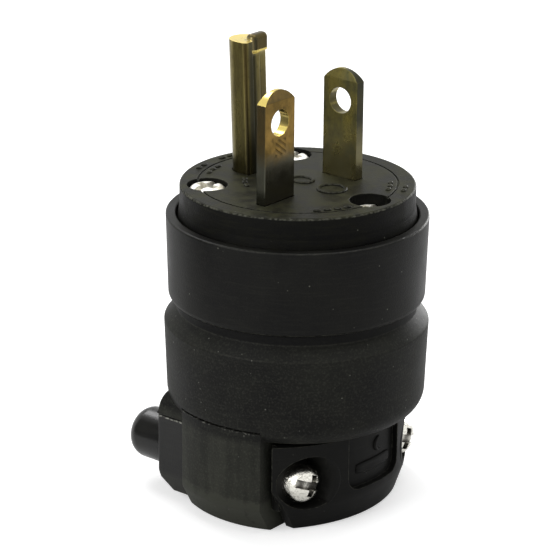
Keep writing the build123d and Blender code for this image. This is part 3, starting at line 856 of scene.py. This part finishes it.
@dataclass
class FaceSet(Assembly):
    """Face insert with its assembly screws and the plain moulded marks on the face."""

    worn_by = {
        FACE_NYLON: ("face_insert",),
        FACE_STEEL: ("assembly_screw_1", "assembly_screw_2", "assembly_screw_3"),
    }
    level_mm: float = 47.2
    mark_rise_mm: float = 0.26
    ring_half_mm: float = 0.28
    dash_half_mm: Pair = (0.55, 0.36)
    # Centre along X and Y, then half width along X and Y
    rings_mm: tuple[Quad, ...] = ((0.85, -0.1, 1.35, 1.65), (0.35, -5.9, 1.95, 1.95))
    # Radius in millimetres, middle direction in degrees, count, and step in degrees
    dashes: tuple[tuple[float, float, int, float], ...] = (
        (13.3, 106.0, 3, 6.5), (15.4, 104.0, 2, 6.0), (15.4, 82.0, 2, 6.0), (13.2, -59.0, 3, 6.5),
        (15.4, -62.0, 2, 6.0), (13.4, -120.0, 4, 6.5), (7.6, 135.0, 3, 11.0),
    )

    def build(self, materials: Materials) -> None:
        """Makes the moulded marks.

        Args:
            materials: Material of each finish.
        """
        face = materials[FACE_NYLON]
        for number, sizes in enumerate(self.rings_mm, start=1):
            surface_piece(f"face_ring_mark_{number}", self._ring(*sizes), False, face)
        count = 0
        for radius, middle, many, step in self.dashes:
            for index in range(many):
                count += 1
                angle = math.radians(middle + (index - (many - 1) / 2) * step)
                surface_piece(f"face_dash_{count}", self._dash(radius, angle), True, face)

    def _ring(self, x: float, y: float, across: float, deep: float) -> Array:
        """Works out a raised ring: an ellipse carried by a flat oval profile that is half sunk in the face.

        Args:
            x: Centre along X.
            y: Centre along Y.
            across: Half width of the oval along X.
            deep: Half width of the oval along Y.

        Returns:
            Grid of points in millimetres.
        """
        u, v = spread(turns(64), -turns(12))
        wide = self.ring_half_mm * np.cos(v)
        z = self.level_mm + self.mark_rise_mm * np.sin(v)
        return np.stack([x + (across + wide) * np.cos(u), y + (deep + wide) * np.sin(u), z], axis=-1)

    def _dash(self, radius: float, angle: float) -> Array:
        """Works out a raised dash: a pillow with sides of power four, lying along a circle round the axis.

        Args:
            radius: Distance from the axis.
            angle: Direction from the axis, in radians.

        Returns:
            Grid of points in millimetres, from the lower to the upper pole.
        """
        v, u = spread(pillow_rows(9), turns(24))
        half_long, half_wide = self.dash_half_mm
        reach = squared(u, 4) * np.sqrt(np.cos(v))
        turn = angle - half_long * reach * np.cos(u) / radius
        out = radius + half_wide * reach * np.sin(u)
        z = self.level_mm + self.mark_rise_mm * np.sin(v)
        return np.stack([out * np.cos(turn), out * np.sin(turn), z], axis=-1)


@dataclass
class BodySet(Assembly):
    """Front ring and rear shell, the two round housings, and the rounding of the shell's hood."""

    worn_by = {RING_NYLON: ("front_ring",), SHELL_NYLON: ("rear_shell",)}
    hood_mid_mm: Triple = (0.0, 10.25, 12.82)
    hood_half_mm: Pair = (15.63, 3.08)
    hood_h_mm: float = 4.0
    hood_inset_mm: float = 2.2
    corner_mm: Pair = (0.02, 0.6)
    corner_growth_mm: float = 4.0
    corner_most: float = 0.95

    def build(self, materials: Materials) -> None:
        """Makes the rounding of the hood."""
        surface_piece("hood_dome", self._dome(), True, materials[SHELL_NYLON])

    def _dome(self) -> Array:
        """Works out the dome of the hood: rounded rectangles that shrink along a quarter ellipse going up.

        The columns stay off the quarter turns, where a corner would lose its side.

        Returns:
            Grid of points in millimetres, from the foot to the top.
        """
        columns = 64
        climbs = np.radians(np.r_[0, np.linspace(1, 90, 30)])
        climb, turn = spread(climbs, turns(columns) + np.pi / columns)
        share = np.sin(climb)
        inset = self.hood_inset_mm * (1 - np.cos(climb))
        half_x, half_y = (half - inset for half in self.hood_half_mm)
        sharp, blunt = self.corner_mm
        grown = np.minimum(blunt, sharp + self.corner_growth_mm * share)
        corner = np.minimum(grown, self.corner_most * half_y)
        x = np.sign(np.cos(turn)) * (half_x - corner) + corner * np.cos(turn)
        y = np.sign(np.sin(turn)) * (half_y - corner) + corner * np.sin(turn)
        return np.stack([x, y, self.hood_h_mm * share], axis=-1) + self.hood_mid_mm


@dataclass
class CordClamp(Assembly):
    """Two clamp pieces with their screws, and the relief and bore lips of the front one."""

    worn_by = {
        FRONT_NYLON: ("front_clamp",),
        REAR_NYLON: ("rear_clamp",),
        CLAMP_STEEL: ("clamp_screw_left", "clamp_screw_right"),
    }
    axis_y_mm: float = 5.9
    panel_r_mm: float = 21.2
    floor_r_mm: float = 20.3
    bore_mm: Triple = (11.2, -8.9, 7.45)
    bore_r_mm: float = 4.05
    lip_half_mm: float = 0.8
    lip_sunk_mm: float = 0.3
    lip_shift_mm: float = 0.6
    lip_proud_mm: float = 0.12
    lip_tip_drop_mm: float = 0.04
    lip_turns_deg: Pair = (-58.0, 65.0)
    bar_rise_mm: float = 0.35
    bar_mid_mm: Pair = (0.3, 7.6)
    bar_half_mm: Pair = (3.9, 0.85)
    bar_edge_powers: Pair = (0.2, 0.4)
    crescent_mid_mm: Pair = (1.4, 10.3)
    crescent_r_mm: float = 1.0
    crescent_thick_mm: float = 0.34
    crescent_turns_deg: Pair = (75.0, 290.0)

    def build(self, materials: Materials) -> None:
        """Makes the plain relief of the pocket and the soft lips of the counterbores.

        Args:
            materials: Material of each finish.
        """
        for name, points in (
            ("pocket_bar", self._bar()),
            ("pocket_crescent", self._crescent()),
            ("clamp_bore_lip_left", self._lip(-1)),
            ("clamp_bore_lip_right", self._lip(1)),
        ):
            surface_piece(name, points, True, materials[FRONT_NYLON])

    def _wrap(self, along: Array, up: Array, out: Array) -> Array:
        """Lays points on the pocket's round floor: the way along becomes an angle about the panel's axis.

        Args:
            along: Distance along the floor.
            up: Height above the standing face.
            out: Distance out from the floor.

        Returns:
            Grid of points in millimetres.
        """
        angle = along / self.floor_r_mm
        radius = self.floor_r_mm + out
        return np.stack([radius * np.sin(angle), self.axis_y_mm - radius * np.cos(angle), up], axis=-1)

    def _bar(self) -> Array:
        """Works out a plain raised bar: a pillow with sides of power six, half sunk in the floor.

        Returns:
            Grid of points in millimetres, from the inner to the outer pole.
        """
        v, u = spread(pillow_rows(11), turns(64))
        reach = squared(u, 6)
        middle, height = self.bar_mid_mm
        half_long, half_high = self.bar_half_mm
        ends, sides = (np.cos(v) ** power for power in self.bar_edge_powers)
        along = middle + half_long * reach * np.cos(u) * ends
        up = height + half_high * reach * np.sin(u) * sides
        return self._wrap(along, up, self.bar_rise_mm * np.sin(v))

    def _crescent(self) -> Array:
        """Works out a plain raised crescent: a round profile carried along an arc, thin at both ends.

        Returns:
            Grid of points in millimetres, from one tip to the other.
        """
        t, v = spread(TAPER, -turns(16))
        middle, height = self.crescent_mid_mm
        start, end = self.crescent_turns_deg
        angle = np.radians(start + (end - start) * t)
        thick = self.crescent_thick_mm * np.sqrt(np.sin(np.pi * t))
        reach = self.crescent_r_mm + thick * np.cos(v)
        return self._wrap(middle + reach * np.cos(angle), height + reach * np.sin(angle), thick * np.sin(v))

    def _lip(self, side: int) -> Array:
        """Works out a counterbore's lip: pillows of power four along its deep side, thin at both ends.

        Each pillow stands on the bore's floor, reaches just past the round panel and swells towards the head.

        Args:
            side: Minus one for the left screw, one for the right one.

        Returns:
            Grid of points in millimetres, from one tip to the other.
        """
        t, v = spread(TAPER, side * turns(32))
        across, floor, height = self.bore_mm
        start, end = self.lip_turns_deg
        turn = np.radians(start + (end - start) * t)
        swell = np.sqrt(np.sin(np.pi * t))
        shape = squared(v, 4)
        inward = self.lip_half_mm * shape * np.cos(v) - self.lip_shift_mm
        reach = self.bore_r_mm + self.lip_sunk_mm + swell * inward
        x = side * (across - reach * np.cos(turn))
        panel = self.axis_y_mm - np.sqrt(self.panel_r_mm**2 - x**2)
        top = panel + self.lip_tip_drop_mm - self.lip_proud_mm * swell
        y = (top + floor) / 2 + (top - floor) / 2 * shape * np.sin(v)
        return np.stack([x, y, height + reach * np.sin(turn)], axis=-1)


@dataclass
class BladeSet(Assembly):
    """Two flat blades, and the ground pin with the strip that closes its fold."""

    worn_by = {HOT_BRASS: ("hot_blade",), NEUTRAL_BRASS: ("neutral_blade",), GROUND_BRASS: ("ground_pin",)}
    pin_base_mm: Triple = (0.0, 9.01, 47.2)
    # How far the pin leans, and the direction that it leans in
    pin_lean_deg: Pair = (1.8, 129.0)
    leg_mm: float = 1.9
    strip_half_mm: Pair = (1.0, 0.5)
    strip_ends_mm: Pair = (-0.3, 17.9)
    strip_proud_mm: float = 0.04

    def build(self, materials: Materials) -> None:
        """Makes the strip between the pin's legs."""
        surface_piece("ground_pin_strip", self._strip(), True, materials[GROUND_BRASS])

    def _strip(self) -> Array:
        """Works out the strip: an oval of power four, carried up the leaning pin just past its legs' ends.

        Returns:
            Grid of points in millimetres, from the face to the cap.
        """
        up, v = spread(np.linspace(*self.strip_ends_mm, 25), turns(40))
        lean, turn = np.radians(self.pin_lean_deg)
        wide, deep = self.strip_half_mm
        shape = squared(v, 4)
        off = up * np.sin(lean)
        x = wide * shape * np.cos(v) + off * np.cos(turn)
        y = deep * (1 + shape * np.sin(v)) - self.leg_mm - self.strip_proud_mm + off * np.sin(turn)
        return np.stack([x, y, up * np.cos(lean)], axis=-1) + self.pin_base_mm


class InnerSet(Assembly):
    """Terminal block, terminal screws, pressure plates and threaded inserts inside the housing."""

    worn_by = {
        RING_NYLON: ("terminal_block",),
        CLAMP_STEEL: ("hot_terminal_screw", "neutral_terminal_screw", "ground_terminal_screw"),
        FITTING_BRASS: (
            "hot_pressure_plate", "neutral_pressure_plate", "ground_pressure_plate", "shell_insert_1",
            "shell_insert_2", "shell_insert_3", "clamp_insert_left", "clamp_insert_right",
        ),
    }


@dataclass(frozen=True)
class SoftBox:
    """Square soft light that is aimed at the plug."""

    name: str
    place_mm: Triple
    side_mm: float
    watts: float

    def build(self, aim: Vector) -> None:
        """Makes the light.

        Args:
            aim: Point that the light faces, in metres.
        """
        lamp = bpy.data.lights.new(self.name, "AREA")
        lamp.size = self.side_mm * MM
        lamp.energy = self.watts
        light = bpy.data.objects.new(self.name, lamp)
        light.location = Vector(self.place_mm) * MM
        light.rotation_euler = (aim - light.location).to_track_quat("-Z", "Y").to_euler()
        bpy.context.scene.collection.objects.link(light)
        LOG.info("lit %s", self.name)


@dataclass
class Studio:
    """White floor and backdrop, soft boxes, a grey card, and the camera at the photo's viewing angle."""

    eye_mm: Triple = (-285.473, -229.596, 165.765)
    aim_mm: Triple = (-4.9, -0.862, 33.784)
    roll_deg: float = 0.518
    lens_mm: float = 173.518
    sensor_mm: float = 36.0
    near_mm: float = 10.0
    floor_half_mm: float = 1500.0
    floor_z_mm: float = -0.02
    floor_tone: float = 0.85
    floor_roughness: float = 0.9
    floor_glow: float = 0.5
    floor_shine: float = 0.1
    fill: float = 0.3
    flag_r_mm: float = 100.0
    flag_h_mm: float = 105.0
    flag_turns_deg: Pair = (114.0, 151.0)
    flag_tone: float = 0.3
    boxes: tuple[SoftBox, ...] = (
        SoftBox("left_box", (-500.0, 135.0, 330.0), 320.0, 1.4),
        SoftBox("top_box", (120.0, -60.0, 620.0), 420.0, 1.6),
        SoftBox("right_box", (560.0, 90.0, 85.0), 160.0, 1.1),
        SoftBox("back_box", (120.0, 330.0, 450.0), 220.0, 1.0),
    )

    def build(self) -> None:
        """Makes floor, card, world, lights and camera."""
        self._floor()
        self._flag()
        self._world()
        for box in self.boxes:
            box.build(Vector(self.aim_mm) * MM)
        self._camera()

    def _rays(self, tree: Tree) -> tuple[Any, Node]:
        """Tells what looks: the eye, or a shiny or clear piece.

        Args:
            tree: Node tree in work.

        Returns:
            The output that is one for the camera, and the node that is one for glossy and transmission rays.
        """
        path = add(tree, "LightPath").outputs
        metal = add(tree, "Math MAXIMUM", (path["Is Glossy Ray"], path["Is Transmission Ray"]))
        return path["Is Camera Ray"], metal

    def _floor(self) -> None:
        """Makes the floor: a flat grid just under the standing face, white to the camera, with a shadow."""
        side = np.linspace(-self.floor_half_mm, self.floor_half_mm, 9)
        x, y = spread(side, side)
        canvas = Canvas("white_paper")
        eye, metal = self._rays(canvas.tree)
        shine = add(canvas.tree, "Math MULTIPLY", (metal, self.floor_shine))
        glow = add(canvas.tree, "Math MULTIPLY_ADD", (eye, self.floor_glow, shine))
        paper = canvas.close("BsdfPrincipled", {
            "Base Color": (*[self.floor_tone] * 3, 1.0), "Roughness": self.floor_roughness,
            "Specular IOR Level": 0.0, "Emission Color": WHITE, "Emission Strength": glow,
        })
        self._sheet("floor", np.stack([x, y, np.full_like(x, self.floor_z_mm)], axis=-1), paper)

    def _flag(self) -> None:
        """Makes a grey card beside the view: an upright arc round the plug that only shows in reflections."""
        arc = np.radians(np.linspace(*self.flag_turns_deg, 33))
        turn, up = spread(arc, np.linspace(0, self.flag_h_mm, 3))
        points = np.stack([self.flag_r_mm * np.cos(turn), self.flag_r_mm * np.sin(turn), up], axis=-1)
        grey = Canvas("grey_card").close("BsdfDiffuse", {"Color": (*[self.flag_tone] * 3, 1.0)})
        card = self._sheet("flag", points, grey)
        card.visible_camera = card.visible_diffuse = card.visible_shadow = False

    def _sheet(self, name: str, points: Array, material: Material) -> Piece:
        """Makes an open sheet of the studio from a grid of points.

        Args:
            name: Name of the sheet.
            points: Rows by columns by three, in millimetres.
            material: Finish of the sheet.

        Returns:
            The new object.
        """
        rows, cols = points.shape[:2]
        grid = np.arange(rows * cols).reshape(rows, cols)
        quads = np.stack([grid[:-1, :-1], grid[1:, :-1], grid[1:, 1:], grid[:-1, 1:]], axis=-1)
        sheet = new_piece(name, points.reshape(-1, 3), quads.reshape(-1, 4).tolist(), material)
        LOG.info("set up %s", name)
        return sheet

    def _world(self) -> None:
        """Makes the surroundings: white to the eye and in metal, a soft fill to everything else."""
        world = bpy.data.worlds.new("studio")
        bpy.context.scene.world = world
        world.use_nodes = True
        tree = world.node_tree
        tree.nodes.clear()
        eye, metal = self._rays(tree)
        seen = add(tree, "Math MAXIMUM", (eye, metal))
        level = add(tree, "MapRange", {"Value": seen, "To Min": self.fill, "To Max": 1.0})
        sky = add(tree, "Background", {"Color": WHITE, "Strength": level})
        add(tree, "OutputWorld", {"Surface": sky})
        LOG.info("lit the surroundings")

    def _camera(self) -> None:
        """Makes the camera at the photo's viewing angle."""
        data = bpy.data.cameras.new("camera")
        data.sensor_width = self.sensor_mm
        data.lens = self.lens_mm
        data.clip_start = self.near_mm * MM
        camera = bpy.data.objects.new("camera", data)
        eye, aim = Vector(self.eye_mm) * MM, Vector(self.aim_mm) * MM
        back = (eye - aim).normalized()
        right = Vector((0, 0, 1)).cross(back).normalized()
        up = back.cross(right)
        turn = Matrix((right, up, back)).transposed().to_4x4()
        roll = Matrix.Rotation(math.radians(self.roll_deg), 4, "Z")
        camera.matrix_world = Matrix.Translation(eye) @ turn @ roll
        bpy.context.scene.collection.objects.link(camera)
        bpy.context.scene.camera = camera
        LOG.info("placed the camera")


def main() -> None:
    """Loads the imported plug, dresses it, adds its marks and sets up the studio."""
    logging.basicConfig(level=logging.INFO, format="%(name)s: %(message)s")
    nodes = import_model()["nodes"]
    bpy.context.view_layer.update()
    materials = {finish: finish.build() for finish in FINISHES}
    for assembly in (FaceSet(), BodySet(), CordClamp(), BladeSet(), InnerSet()):
        assembly.build(materials)
        assembly.dress(nodes, materials)
    Studio().build()
    bpy.context.scene.view_settings.view_transform = "Standard"


if __name__ == "__main__":
    main()
